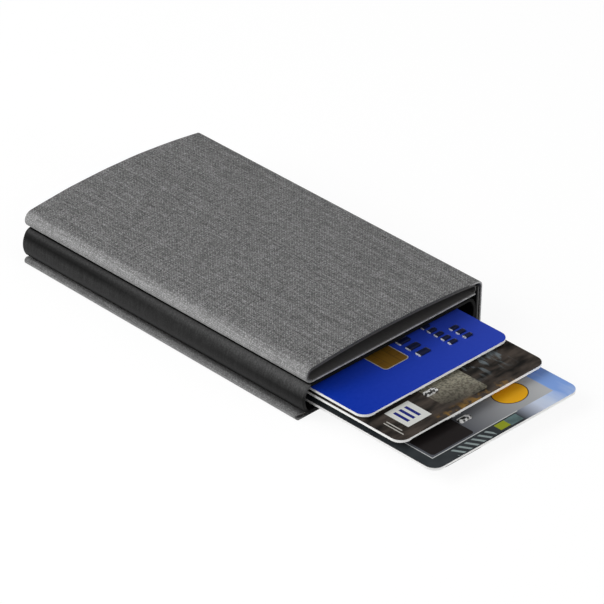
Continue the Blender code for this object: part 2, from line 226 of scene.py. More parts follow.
# Moulded, cut or coated surface with a fine grain and slightly uneven gloss.
def moulded(name, colour, roughness, pebble=2500.0, depth=0.02, vary=0.12, specular=0.5):
    material, tree, shader = newMaterial(name, roughness, specular=specular)
    place = objectPlace(tree)
    fine = grain(tree, place, pebble, 3.0)
    broad = grain(tree, place, 90.0, 3.0)
    darker = tuple(part * (1 - vary) for part in colour) + (1.0,)
    lighter = tuple(part * (1 + vary) for part in colour) + (1.0,)
    tone = calc(tree, "ADD", calc(tree, "MULTIPLY", fine, 0.6), calc(tree, "MULTIPLY", broad, 0.4))
    tree.links.new(blendColour(tree, tone, darker, lighter), shader.inputs["Base Color"])
    gloss = spread(tree, broad, 0.3, 0.7, roughness * 0.9, roughness * 1.1)
    tree.links.new(gloss, shader.inputs["Roughness"])
    addBump(tree, shader, fine, 0.35, depth * mm)
    return material


# Dark lined board with the cover's grey cloth drawn round its outer edge.
def linedBoard():
    board = {"lean": 0.0175, "liningEndX": 32.1, "clothStartX": 32.2}
    material, tree, shader = newMaterial("lined_board", 0.88, specular=0.2)
    place = objectPlace(tree)
    x, z = millimetres(tree, place)[::2]
    fibre = grain(tree, place, 1600.0, 3.0)
    upright = calc(tree, "SUBTRACT", x, calc(tree, "MULTIPLY", z, board["lean"]))
    turned = spread(tree, upright, board["liningEndX"], board["clothStartX"], 0.0, 1.0)
    colour = blendColour(tree, fibre, grey(0.008), grey(0.016))
    colour = blendColour(tree, turned, colour, grey(0.15))
    tree.links.new(colour, shader.inputs["Base Color"])
    addBump(tree, shader, fibre, 0.35, 0.05 * mm)
    return material


# Black coat with fine upright drawing lines. Up the outer side its tone is painted light and shade:
# painted shade at the foot by the hem and where cover and case meet, and a painted highlight below the
# upper corner, shifting from rear to mouth; each stop gives a height in millimetres, the tone there at
# the rear and the tone at the mouth.
def anodisedCoat():
    coat = {"plain": 0.006, "roughness": 0.42, "floorZ": 2.0, "topZ": 10.8, "outerX": -30.0,
            "rearToneY": 25.0, "mouthToneY": -50.0,
            "side": [(2.0, 0.002, 0.002), (3.1, 0.002, 0.002), (4.2, 0.028, 0.028), (7.2, 0.033, 0.012),
                     (8.9, 0.007, 0.050), (9.7, 0.016, 0.072), (10.3, 0.048, 0.080), (10.64, 0.053, 0.085),
                     (10.73, 0.002, 0.002)]}
    material, tree, shader = newMaterial("anodised_black", coat["roughness"], specular=0.035)
    place = objectPlace(tree)
    x, y, z = millimetres(tree, place)
    speck = grain(tree, place, 2600.0, 3.0)
    drawn = grain(tree, place, 1500.0, 3.0, (1, 1, 0.06))
    # Painted light and shade up the outer side, blended from its rear tones to its mouth tones.
    upSide = spread(tree, z, coat["floorZ"], coat["topZ"], 0.0, 1.0)
    sideLightAndShade = addNode(tree, "ShaderNodeValToRGB", {0: upSide})
    stops = sideLightAndShade.color_ramp.elements
    for i, (height, rear, mouth) in enumerate(coat["side"]):
        at = (height - coat["floorZ"]) / (coat["topZ"] - coat["floorZ"])
        stop = stops[0] if i == 0 else stops.new(at)
        stop.color = (rear, mouth, 0.0, 1.0)
    stops[-1].color = (coat["side"][-1][1], coat["side"][-1][2], 0.0, 1.0)
    ends = addNode(tree, "ShaderNodeSeparateColor", {0: sideLightAndShade.outputs[0]})
    forward = spread(tree, y, coat["rearToneY"], coat["mouthToneY"], 0.0, 1.0)
    tone = addNode(tree, "ShaderNodeMix", {0: forward, 2: ends.outputs[0], 3: ends.outputs[1]}).outputs[0]
    tone = calc(tree, "MULTIPLY", tone, spread(tree, speck, 0.35, 0.65, 0.8, 1.2))
    outer = calc(tree, "LESS_THAN", x, coat["outerX"])
    tone = addNode(tree, "ShaderNodeMix", {0: outer, 2: coat["plain"], 3: tone}).outputs[0]
    tone = calc(tree, "MULTIPLY", tone, spread(tree, drawn, 0.35, 0.65, 0.85, 1.15))
    colour = addNode(tree, "ShaderNodeCombineColor", {0: tone, 1: tone, 2: tone}).outputs[0]
    tree.links.new(colour, shader.inputs["Base Color"])
    tree.links.new(spread(tree, drawn, 0.3, 0.7, coat["roughness"] * 0.85, coat["roughness"] * 1.15),
                   shader.inputs["Roughness"])
    addBump(tree, shader, drawn, 0.3, 0.012 * mm)
    return material


def brushedSteel():
    material, tree, shader = newMaterial("brushed_steel", 0.3, 1.0)
    place = objectPlace(tree)
    lines = grain(tree, place, 1500.0, 3.0, (1, 1, 0.02))
    tree.links.new(blendColour(tree, lines, grey(0.46), grey(0.64)), shader.inputs["Base Color"])
    tree.links.new(spread(tree, lines, 0.3, 0.7, 0.24, 0.38), shader.inputs["Roughness"])
    return material


def felted():
    material, tree, shader = newMaterial("black_felt", 0.97, specular=0.1)
    shader.inputs["Sheen Weight"].default_value = 0.3
    place = objectPlace(tree)
    fluff = grain(tree, place, 1400.0, 5.0)
    tree.links.new(blendColour(tree, fluff, grey(0.015), grey(0.045)), shader.inputs["Base Color"])
    addBump(tree, shader, fluff, 0.9, 0.2 * mm)
    return material


clothFinish = wovenCloth("melange_cloth")
layerRimFinish = clothEdge("folded_cloth_edge", 0.36)
liningFinish = smoothLining("pocket_lining", 0.068)
caseFinish = anodisedCoat()
capFinish = moulded("cap_plastic", (0.012, 0.012, 0.0125), 0.55, specular=0.35)
leverFinish = moulded("lever_plastic", (0.028, 0.028, 0.03), 0.48)
boardFinish = linedBoard()
greyBoardFinish = moulded("grey_board", (0.1, 0.085, 0.065), 0.9, pebble=1400.0, depth=0.05, vary=0.25)
foamFinish = moulded("adhesive_foam", (0.5, 0.5, 0.47), 0.75, pebble=3000.0, depth=0.05)
coreFinish = moulded("card_core", (0.95, 0.95, 0.94), 0.42, pebble=3000.0, depth=0.004, vary=0.02)
tapeFinish = moulded("magnetic_tape", (0.02, 0.016, 0.014), 0.3, pebble=4000.0, depth=0.003)
steelFinish = brushedSteel()
feltFinish = felted()
print("plain finishes made")


# Card prints, in millimetres on the wallet's own axes
def band(tree, value, low, high):
    return calc(tree, "COMPARE", value, (low + high) / 2, abs(high - low) / 2)


def patch(tree, x, y, x0, x1, y0, y1):
    return calc(tree, "MULTIPLY", band(tree, x, x0, x1), band(tree, y, y0, y1))


def length(tree, dx, dy):
    squares = calc(tree, "ADD", calc(tree, "MULTIPLY", dx, dx), calc(tree, "MULTIPLY", dy, dy))
    return calc(tree, "SQRT", squares)


# How far a value lies past the straight part of a rounded side.
def pastSide(tree, value, low, high, radius):
    off = calc(tree, "ABSOLUTE", calc(tree, "SUBTRACT", value, (low + high) / 2))
    return calc(tree, "MAXIMUM", calc(tree, "SUBTRACT", off, (high - low) / 2 - radius), 0.0)


# Rectangle with round corners, from its distance field.
def roundPatch(tree, x, y, x0, x1, y0, y1, radius):
    far = length(tree, pastSide(tree, x, x0, x1, radius), pastSide(tree, y, y0, y1, radius))
    return calc(tree, "LESS_THAN", far, radius)


def glossFilm(name):
    material, tree, shader = newMaterial(name, 0.34, specular=0.1)
    place = objectPlace(tree)
    x, y = millimetres(tree, place)[:2]
    addBump(tree, shader, grain(tree, place, 300.0, 2.0), 0.05, 0.02 * mm)
    return material, tree, shader, place, x, y


# The print lies on the top alone; the film's cut edge is white like the core.
def paintFilm(tree, shader, artwork):
    facing = addNode(tree, "ShaderNodeTexCoord").outputs["Normal"]
    upward = addNode(tree, "ShaderNodeSeparateXYZ", {0: facing}).outputs[2]
    colour = blendColour(tree, calc(tree, "LESS_THAN", upward, 0.5), artwork, (0.95, 0.95, 0.94, 1))
    tree.links.new(colour, shader.inputs["Base Color"])


def blueFilm():
    material, tree, shader, place, x, y = glossFilm("blue_film")
    # Painted reflection: the blue grows lighter towards the card's right end.
    paintedGlossSweep = spread(tree, x, -28.0, 25.0, 0.0, 1.0)
    colour = blendColour(tree, paintedGlossSweep, (0.003, 0.034, 0.43, 1), (0.028, 0.064, 0.50, 1))
    specks = grain(tree, place, 900.0, 3.0)
    colour = blendColour(tree, spread(tree, specks, 0.3, 0.7, 0.0, 0.12), colour, (0.03, 0.08, 0.6, 1))
    paintFilm(tree, shader, colour)
    return material


# Dark mottle with glints, an amber front edge, a pale veil, and a white panel with three bars.
def darkFilm():
    design = {"glints": (3.0, 20.0), "glintFade": (-79.0, -72.0), "amber": (-14.0, 13.0),
              "amberFade": (-80.5, -83.0), "veil": (-8.6, 6.0, -81.2, -64.0), "veilCorner": 0.8,
              "veilSlope": 0.4, "veilFade": (-83.0, -72.0), "panel": (-22.2, -13.6, -80.0, -71.5),
              "bars": (-20.6, -18.6, -16.6), "barWide": 1.0, "barLong": (-78.2, -73.0),
              "lines": (-25.6, -24.6), "lineWide": 0.35, "lineLong": (-81.5, -74.5), "lineSlope": 1.5}
    material, tree, shader, place, x, y = glossFilm("dark_film")
    strokes = spread(tree, grain(tree, place, 330.0, 6.0, (0.45, 1.5, 1), 0.35), 0.35, 0.65, 0.0, 1.0)
    colour = blendColour(tree, strokes, (0.010, 0.009, 0.008, 1), (0.075, 0.060, 0.050, 1))
    glints = spread(tree, grain(tree, place, 800.0, 5.0, (1.0, 0.3, 1), -0.2), 0.5, 0.62, 0.0, 0.8)
    glints = calc(tree, "MULTIPLY", glints, band(tree, x, *design["glints"]))
    glints = calc(tree, "MULTIPLY", glints, spread(tree, y, *design["glintFade"], 0.0, 1.0))
    colour = blendColour(tree, glints, colour, (0.20, 0.24, 0.26, 1))
    amber = spread(tree, grain(tree, place, 520.0, 5.0), 0.46, 0.62, 0.0, 0.9)
    amber = calc(tree, "MULTIPLY", amber, band(tree, x, *design["amber"]))
    amber = calc(tree, "MULTIPLY", amber, spread(tree, y, *design["amberFade"], 0.0, 1.0))
    colour = blendColour(tree, amber, colour, (0.27, 0.15, 0.035, 1))
    veil = roundPatch(tree, x, y, *design["veil"], design["veilCorner"])
    speckle = grain(tree, place, 1500.0, 2.0)
    slant = calc(tree, "ADD", y, calc(tree, "MULTIPLY", x, design["veilSlope"]))
    veil = calc(tree, "MULTIPLY", veil, spread(tree, slant, *design["veilFade"], 0.0, 0.95))
    veil = calc(tree, "MULTIPLY", veil, spread(tree, speckle, 0.38, 0.6, 0.35, 1.0))
    colour = blendColour(tree, veil, colour, (0.37, 0.35, 0.27, 1))
    colour = blendColour(tree, patch(tree, x, y, *design["panel"]), colour, (0.72, 0.73, 0.70, 1))
    for start in design["bars"]:
        bar = patch(tree, x, y, start, start + design["barWide"], *design["barLong"])
        colour = blendColour(tree, bar, colour, (0.015, 0.02, 0.2, 1))
    for start in design["lines"]:
        front = design["lineLong"][0] + (start - design["lines"][0]) * design["lineSlope"]
        bar = patch(tree, x, y, start, start + design["lineWide"], front, design["lineLong"][1])
        colour = blendColour(tree, bar, colour, (0.55, 0.54, 0.5, 1))
    paintFilm(tree, shader, colour)
    return material


# Dark field with a hatch and two coloured blocks, a disc on grey, and a pale blue corner.
def paleFilm():
    design = {"hatch": (-19.5, -5.5, -95.2, -92.2), "hatchSlope": 0.6, "hatchPitch": 2.6,
              "lime": (-3.4, 0.2, -94.6, -91.9), "teal": (0.2, 4.6, -94.9, -91.9), "sky": (4.5, 12.0),
              "deep": (11.0, 19.5), "inner": (-24.9, 19.4, -91.3, -60.0), "greyFade": (-10.0, 18.0),
              "ink": (-24.2, -9.0, -90.6, -60.0), "inkCorner": 0.9, "discX": 10.5, "discY": -84.4,
              "discSquash": 1.15, "discRim": 5.3, "disc": 5.0, "frontLine": (-91.45, -91.2),
              "frontLineX": (-25.2, 6.0), "sideLine": (-25.2, -24.95), "sideLineY": (-91.45, -60.0)}
    material, tree, shader, place, x, y = glossFilm("pale_film")
    mottle = grain(tree, place, 240.0, 4.0)
    colour = blendColour(tree, mottle, (0.018, 0.022, 0.026, 1), (0.055, 0.062, 0.066, 1))
    slant = calc(tree, "ADD", x, calc(tree, "MULTIPLY", y, design["hatchSlope"]))
    wave = calc(tree, "SINE", calc(tree, "MULTIPLY", slant, design["hatchPitch"]))
    hatch = calc(tree, "GREATER_THAN", wave, 0.35)
    hatch = calc(tree, "MULTIPLY", hatch, patch(tree, x, y, *design["hatch"]))
    colour = blendColour(tree, calc(tree, "MULTIPLY", hatch, 0.75), colour, (0.36, 0.43, 0.43, 1))
    colour = blendColour(tree, patch(tree, x, y, *design["lime"]), colour, (0.28, 0.32, 0.02, 1))
    worn = spread(tree, mottle, 0.3, 0.7, 0.3, 1.0)
    teal = calc(tree, "MULTIPLY", patch(tree, x, y, *design["teal"]), worn)
    colour = blendColour(tree, teal, colour, (0.16, 0.26, 0.26, 1))
    colour = blendColour(tree, spread(tree, x, *design["sky"], 0.0, 1.0), colour, (0.60, 0.66, 0.80, 1))
    streaks = spread(tree, grain(tree, place, 160.0, 3.0, (1.0, 0.22, 1), -0.25), 0.38, 0.62, 0.0, 1.0)
    blue = blendColour(tree, streaks, (0.24, 0.40, 0.82, 1), (0.60, 0.72, 0.93, 1))
    colour = blendColour(tree, spread(tree, x, *design["deep"], 0.0, 1.0), colour, blue)
    fade = spread(tree, x, *design["greyFade"], 0.0, 1.0)
    paleGrey = blendColour(tree, fade, (0.09, 0.095, 0.11, 1), (0.50, 0.51, 0.52, 1))
    colour = blendColour(tree, patch(tree, x, y, *design["inner"]), colour, paleGrey)
    ink = roundPatch(tree, x, y, *design["ink"], design["inkCorner"])
    colour = blendColour(tree, ink, colour, (0.017, 0.014, 0.014, 1))
    dx = calc(tree, "SUBTRACT", x, design["discX"])
    dy = calc(tree, "MULTIPLY", calc(tree, "SUBTRACT", y, design["discY"]), design["discSquash"])
    far = length(tree, dx, dy)
    colour = blendColour(tree, calc(tree, "LESS_THAN", far, design["discRim"]), colour, (0.05, 0.03, 0.01, 1))
    colour = blendColour(tree, calc(tree, "LESS_THAN", far, design["disc"]), colour, (0.85, 0.42, 0.01, 1))
    frontLine = patch(tree, x, y, *design["frontLineX"], *design["frontLine"])
    sideLine = patch(tree, x, y, *design["sideLine"], *design["sideLineY"])
    colour = blendColour(tree, calc(tree, "MAXIMUM", frontLine, sideLine), colour, (0.62, 0.64, 0.64, 1))
    paintFilm(tree, shader, colour)
    return material


# Contact plate with the dark joints between its fields.
def goldContacts():
    chip = {"x": -4.89, "y": -53.62, "long": 11.8, "wide": 9.0, "joint": 0.13, "rim": 0.26, "middle": 1.6,
            "row": 2.6}
    material, tree, shader = newMaterial("gold_contacts", 0.4, 0.6)
    place = objectPlace(tree)
    x, y = millimetres(tree, place)[:2]
    ax = calc(tree, "ABSOLUTE", calc(tree, "SUBTRACT", x, chip["x"]))
    dy = calc(tree, "SUBTRACT", y, chip["y"])
    joints = band(tree, ax, chip["middle"], chip["middle"] + chip["joint"])
    outer = calc(tree, "GREATER_THAN", ax, chip["middle"])
    for level in (-chip["row"], 0.0, chip["row"]):
        line = band(tree, dy, level - chip["joint"] / 2, level + chip["joint"] / 2)
        joints = calc(tree, "MAXIMUM", joints, calc(tree, "MULTIPLY", line, outer))
    brushed = grain(tree, place, 900.0, 3.0, (1, 0.15, 1))
    gold = blendColour(tree, brushed, (0.22, 0.10, 0.009, 1), (0.50, 0.27, 0.035, 1))
    colour = blendColour(tree, calc(tree, "MULTIPLY", joints, 0.6), gold, (0.06, 0.035, 0.012, 1))
    halfWide, halfLong = chip["wide"] / 2 - chip["rim"], chip["long"] / 2 - chip["rim"]
    field = roundPatch(tree, x, y, chip["x"] - halfWide, chip["x"] + halfWide, chip["y"] - halfLong,
                       chip["y"] + halfLong, 1.0)
    colour = blendColour(tree, field, (0.80, 0.76, 0.62, 1), colour)
    tree.links.new(colour, shader.inputs["Base Color"])
    addBump(tree, shader, calc(tree, "SUBTRACT", 1.0, joints), 0.6, 0.04 * mm)
    return material


carried = {
    "case_tube": caseFinish, "rear_end_cap": capFinish, "lever_pivot_pin": steelFinish,
    "eject_lever": leverFinish, "spine_board": boardFinish, "bottom_board": greyBoardFinish,
    "adhesive_pad": foamFinish,
    "upper_card_core": coreFinish, "middle_card_core": coreFinish, "lower_card_core": coreFinish,
    "upper_card_magnetic_stripe": tapeFinish, "middle_card_magnetic_stripe": tapeFinish,
    "lower_card_magnetic_stripe": tapeFinish, "upper_card_face": blueFilm(), "middle_card_face": darkFilm(),
    "lower_card_face": paleFilm(), "upper_card_contact_plate": goldContacts(),
}
for name, material in carried.items():
    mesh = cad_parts[name].data
    mesh.materials.clear()
    mesh.materials.append(material)
print("carried nodes painted:", len(carried))


# The cover's sheets, each mapped onto its path through the section in X and Z, in millimetres
cover = {
    "mouthY": -53.0, "rearY": 53.0, "bottomY": -51.2, "thick": 0.5, "linerThick": 0.3,
    "topX": 31.47, "topZ": 12.95, "topRadius": 1.8, "footX": 31.57, "footZ": 1.5, "footRadius": 1.5,
    "panelZ": 11.1, "spineZ": 14.75, "foldX": -29.3, "foldNose": 2.5, "riseMouth": 4.55, "riseRear": 4.8,
    "crownMouth": 1.42, "crownRear": 2.0, "layerEndX": 30.7, "seamZ": 7.0,
    "hemX": -32.25, "hemSkew": 1.0, "hemRadius": 1.0, "hemTopZ": 1.8, "hemEndX": -23.25,
    "sleeveInset": 0.6, "sleeveEndX": 29.7, "sleeveBulge": 1.2,
    "liningStartX": 31.27, "liningEndX": -22.95, "liningZ": 1.6, "liningBack": 0.3,
}


def arc(cx, cz, rx, rz, start, end, steps):
    points = []
    for i in range(steps + 1):
        angle = math.radians(start + (end - start) * i / steps)
        points.append((cx + rx * math.cos(angle), cz + rz * math.sin(angle)))
    return points


# Evenly spaced places, both ends among them.
def run(start, end, steps):
    return [start + (end - start) * i / steps for i in range(steps + 1)]


def towardsRear(y, atMouth, atRear):
    t = (y - cover["mouthY"]) / (cover["rearY"] - cover["mouthY"])
    return atMouth + (atRear - atMouth) * t


# The rounded fold, drawn smaller by inset for the layer inside it.
def foldArc(y, inset, steps):
    rise = towardsRear(y, cover["riseMouth"], cover["riseRear"])
    middle = cover["panelZ"] + rise / 2
    return arc(cover["foldX"], middle, cover["foldNose"] - inset, rise / 2 - inset, 90, 270, steps)


def archZ(x, y):
    rise = towardsRear(y, cover["riseMouth"], cover["riseRear"])
    crown = towardsRear(y, cover["crownMouth"], cover["crownRear"])
    t = (cover["topX"] - x) / (cover["topX"] - cover["foldX"])
    return cover["spineZ"] + (cover["panelZ"] + rise - cover["spineZ"]) * t + crown * (1 - (2 * t - 1) ** 2)


def spineX(z):
    foot = cover["footX"] + cover["footRadius"]
    top = cover["topX"] + cover["topRadius"]
    return foot + (top - foot) * (z - cover["footZ"]) / (cover["topZ"] - cover["footZ"])


# Hem, bottom and lower half of the spine.
def lowerPath(y):
    r = cover["hemRadius"]
    rollX = towardsRear(y, cover["hemX"], cover["hemX"] + cover["hemSkew"])
    points = [(x, cover["hemTopZ"]) for x in run(cover["hemEndX"], rollX + r, 6)]
    points += arc(rollX, r, r, r, 90, 270, 24)
    points += [(x, 0.0) for x in run(rollX, cover["footX"], 30)[1:-1]]
    points += arc(cover["footX"], cover["footZ"], cover["footRadius"], cover["footRadius"], -90, 0, 12)
    return points + [(spineX(z), z) for z in run(cover["footZ"], cover["seamZ"], 5)[1:]]


# Upper half of the spine, over the crown and round the fold.
def upperPath(y):
    points = [(spineX(z), z) for z in run(cover["seamZ"], cover["topZ"], 5)[:-1]]
    points += arc(cover["topX"], cover["topZ"], cover["topRadius"], cover["topRadius"], 0, 90, 12)
    points += [(x, archZ(x, y)) for x in run(cover["topX"], cover["foldX"], 48)[1:]]
    return points + foldArc(y, 0.0, 20)[1:]


def layerPath(y):
    return [(x, cover["panelZ"]) for x in run(cover["foldX"], cover["layerEndX"], 30)]


# Closed round: roof from the spine side to the fold, floor back, then the round end.
def sleevePath(y):
    inset = cover["sleeveInset"]
    low = cover["panelZ"] + inset
    points = [(x, archZ(x, y) - inset) for x in run(cover["sleeveEndX"], cover["foldX"], 40)]
    points += foldArc(y, inset, 16)[1:]
    points += [(x, low) for x in run(cover["foldX"], cover["sleeveEndX"], 30)[1:]]
    roof = points[0][1]
    end = arc(cover["sleeveEndX"], (roof + low) / 2, cover["sleeveBulge"], (roof - low) / 2, -90, 90, 12)
    return points + end[1:-1]


def liningPath(y):
    return [(x, cover["liningZ"]) for x in run(cover["liningStartX"], cover["liningEndX"], 20)]


# A grid of cloth along a section path, with its UV in metres along the cloth, given its thickness inwards.
def clothSheet(name, path, front, steps, thick, finish, rim, closed=False, ripple=0.0):
    make = {"edge": 0.22, "edgeAngle": 60, "smoothAngle": 50, "rippleScale": 0.09, "rippleSeed": 3.0}
    rear = cover["rearY"]
    reference = path(0.0)
    travel = [0.0]
    for near, far in zip(reference, reference[1:] + reference[:1]):
        travel.append(travel[-1] + math.dist(near, far))
    count = len(reference)
    verts, uvs = [], []
    for j in range(steps + 1):
        for i in range(count):
            startY = front(*reference[i])
            y = startY + (rear - startY) * j / steps
            x, z = path(y)[i]
            if z > cover["spineZ"]:
                spot = Vector((x * make["rippleScale"], y * make["rippleScale"], make["rippleSeed"]))
                z += ripple * noise.noise(spot)
            verts.append((x * mm, y * mm, z * mm))
            uvs.append((travel[i] * mm, y * mm))
    faces, corners = [], []
    across = count if closed else count - 1
    for j in range(steps):
        for i in range(across):
            k = (i + 1) % count
            face = (j * count + i, (j + 1) * count + i, (j + 1) * count + k, j * count + k)
            faces.append(face)
            near, far = uvs[face[0]][0], travel[i + 1] * mm
            corners.append([(side, uvs[v][1]) for side, v in zip((near, near, far, far), face)])
    mesh = bpy.data.meshes.new(name)
    mesh.from_pydata(verts, [], faces)
    layer = mesh.uv_layers.new(name="weave")
    for polygon, corner in zip(mesh.polygons, corners):
        for loop, uv in zip(polygon.loop_indices, corner):
            layer.data[loop].uv = uv
    mesh.materials.append(finish)
    mesh.materials.append(rim)
    piece = bpy.data.objects.new(name, mesh)
    bpy.context.collection.objects.link(piece)
    bpy.ops.object.select_all(action="DESELECT")
    bpy.context.view_layer.objects.active = piece
    piece.select_set(True)
    solid = piece.modifiers.new("thickness", "SOLIDIFY")
    solid.thickness = thick * mm
    solid.offset = -1.0
    solid.material_offset_rim = 1
    bpy.ops.object.modifier_apply(modifier=solid.name)
    soft = piece.modifiers.new("soft edge", "BEVEL")
    soft.width = thick * make["edge"] * mm
    soft.segments = 2
    soft.limit_method = "ANGLE"
    soft.angle_limit = math.radians(make["edgeAngle"])
    soft.use_clamp_overlap = True
    bpy.ops.object.modifier_apply(modifier=soft.name)
    bpy.ops.object.shade_smooth_by_angle(angle=math.radians(make["smoothAngle"]))
    return piece, (travel[count] if closed else travel[count - 1]) * mm


def coverFront(x, z):
    return cover["mouthY"]


# Set back under the case, out to the mouth at the spine, round at the hem's corner.
def lowerFront(x, z):
    edge = {"spineX": 30.0, "spineZ": 3.5, "flareX": 20.0, "flareWide": 11.5, "cornerIn": 0.3,
            "cornerWide": 1.3, "cornerLong": 2.3, "cornerRound": 0.98}
    if z > edge["spineZ"] and x > edge["spineX"]:
        return cover["mouthY"]
    t = min(max((x - edge["flareX"]) / edge["flareWide"], 0.0), 1.0)
    y = cover["bottomY"] + (cover["mouthY"] - cover["bottomY"]) * t * t * (3 - 2 * t)
    corner = min(max((cover["hemX"] + edge["cornerIn"] - x) / edge["cornerWide"], 0.0), 1.0)
    return y + edge["cornerLong"] * (1 - math.sqrt(1 - corner * corner * edge["cornerRound"]))


def liningFront(x, z):
    return cover["bottomY"] + cover["liningBack"]


# Lengths of a path's steps, half way along the wallet.
def pathSteps(path):
    return [math.dist(near, far) for near, far in zip(path(0.0), path(0.0)[1:])]


# The roll has painted shade where the case sits on it and painted light at its outer turn. The cut
# edge is light at the roll, dull along the bottom panel and light up the spine.
acrossLower = pathSteps(lowerPath)
rollStart, rollEnd = sum(acrossLower[:7]), sum(acrossLower[:31])
lowerFinish = wovenCloth("melange_cloth_lower", paintedShade=(rollStart - 0.8, rollStart + 0.3, 0.55),
                         paintedLight=(rollStart + 1.1, rollStart + 2.3, rollEnd - 0.4, rollEnd + 0.4, 0.2),
                         matted=(rollEnd, rollEnd + 3.0, 0.55))
spineRimFinish = clothEdge("spine_cloth_edge", 0.2, [(rollEnd + 2.0, 0.05), (sum(acrossLower[:-5]), 0.42)])
lowerCloth, lowerWidth = clothSheet("lower_cover_cloth", lowerPath, lowerFront, 60, cover["thick"],
                                    lowerFinish, spineRimFinish)
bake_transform(lowerCloth)
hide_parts("bottom_textile", "spine_textile")
# A loop over the lower path's points and step lengths that does nothing.
for step, (x, z) in zip(acrossLower, lowerPath(0.0)):
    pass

# The fold has a painted highlight up to the sheet's end, so its fade lies past that. The cut edge is
# light on the spine and in shade over the pocket.
acrossUpper = pathSteps(upperPath)
foldStart = sum(acrossUpper[:-20])
pastEnd = (90.0, 95.0)
upperFinish = wovenCloth("melange_cloth_upper", paintedLight=(foldStart - 0.5, foldStart + 2.8, *pastEnd, 0.13))
rimFinish = clothEdge("cut_cloth_edge", 0.42, [(sum(acrossUpper[:19]), 0.075), (foldStart + 1.5, 0.2)])
upperCloth, upperWidth = clothSheet("upper_cover_cloth", upperPath, coverFront, 60, cover["thick"],
                                    upperFinish, rimFinish, ripple=0.16)
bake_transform(upperCloth)
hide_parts("top_textile", "spine_textile")

innerLayer, layerWidth = clothSheet("turned_under_layer", layerPath, coverFront, 60, cover["thick"],
                                    clothFinish, layerRimFinish)
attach(innerLayer, "top_flap")
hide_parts("top_textile")

sleeve, sleeveWidth = clothSheet("note_pocket", sleevePath, coverFront, 60, cover["linerThick"], liningFinish,
                                 liningFinish, closed=True)
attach(sleeve, "top_flap")
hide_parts("pocket_sleeve")

lining, liningWidth = clothSheet("inner_lining", liningPath, liningFront, 30, cover["linerThick"],
                                 liningFinish, liningFinish)
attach(lining, "base")
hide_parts("bottom_lining")
print("cover sheets made")


# Brake felt inside the mouth
def brakeFelt(name, node, openSide):
    make = {"edge": 0.1, "fluff": 0.03, "fluffScale": 900}
    low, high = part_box(node)
    size = Vector(high) - Vector(low)
    centre = (Vector(high) + Vector(low)) / 2
    bpy.ops.object.select_all(action="DESELECT")
    bpy.ops.mesh.primitive_cube_add(size=1.0, location=centre)
    piece = bpy.context.object
    piece.name = name
    piece.dimensions = size
    bpy.ops.object.transform_apply(location=True, rotation=True, scale=True)
    bpy.ops.object.mode_set(mode="EDIT")
    bpy.ops.mesh.select_all(action="SELECT")
    bpy.ops.mesh.bevel(offset=make["edge"] * mm, segments=2, affect="EDGES")
    bpy.ops.mesh.subdivide(number_cuts=3)
    bpy.ops.object.mode_set(mode="OBJECT")
    for vert in piece.data.vertices:
        if (vert.co.z - centre.z) * openSide > 0:
            vert.co.z += make["fluff"] * mm * noise.noise(vert.co * make["fluffScale"])
    bpy.ops.object.shade_smooth_by_angle(angle=math.radians(50))
    piece.data.materials.append(feltFinish)
    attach(piece, "base")
    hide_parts(node)


brakeFelt("upper_brake_felt", "upper_felt_strip", -1)
brakeFelt("lower_brake_felt", "lower_felt_strip", 1)


# Rows of plain raised foil tablets on the cards
largeTablet = {"long": 4.2, "wide": 2.0, "pitch": 3.56}
smallTablet = {"long": 2.9, "wide": 1.4, "pitch": 2.45}
marks = {
    "large": {**largeTablet, "x": 3.6, "z": 8.72, "start": -61.2, "count": 8, "gap": 1.6},
    "small": {**smallTablet, "x": 12.6, "z": 8.72, "start": -62.8, "count": 7, "gap": 0.0},
    "date": {**smallTablet, "x": 17.6, "z": 8.72, "start": -63.4, "count": 3, "gap": 0.0},
    "middle": {**largeTablet, "x": -6.8, "z": 7.14, "start": -73.9, "count": 4, "gap": 0.0},
    "lower": {**largeTablet, "x": -6.6, "z": 4.56, "start": -85.7, "count": 4, "gap": 0.0},
}


# Dark foil with a painted highlight: a silver stripe along the lower-x end of each tablet, broken up by wear.
def foilMark():
    material, tree, shader = newMaterial("foil_marks", 0.32, specular=0.5)
    place = objectPlace(tree)
    x = millimetres(tree, place)[0]
    worn = grain(tree, place, 1600.0, 4.0)
    paintedTipHighlight = 0.0
    for row in (marks["large"], marks["small"], marks["date"]):
        edge = row["x"] - row["long"] / 2
        paintedTipHighlight = calc(tree, "MAXIMUM", paintedTipHighlight, band(tree, x, edge - 0.1, edge + 0.34))
    paintedTipHighlight = calc(tree, "MULTIPLY", paintedTipHighlight, spread(tree, worn, 0.35, 0.5, 0.5, 1.0))
    colour = blendColour(tree, paintedTipHighlight, (0.004, 0.008, 0.045, 1), (0.75, 0.77, 0.82, 1))
    tree.links.new(colour, shader.inputs["Base Color"])
    addBump(tree, shader, worn, 0.2, 0.02 * mm)
    return material


# Foil that is silver all over, rubbed off in places.
def silverFoil():
    material, tree, shader = newMaterial("silver_foil", 0.35, 0.15)
    place = objectPlace(tree)
    worn = grain(tree, place, 1100.0, 4.0)
    bare = spread(tree, worn, 0.46, 0.54, 0.0, 1.0)
    colour = blendColour(tree, bare, (0.012, 0.011, 0.01, 1), (0.86, 0.86, 0.85, 1))
    tree.links.new(colour, shader.inputs["Base Color"])
    addBump(tree, shader, worn, 0.2, 0.02 * mm)
    return material


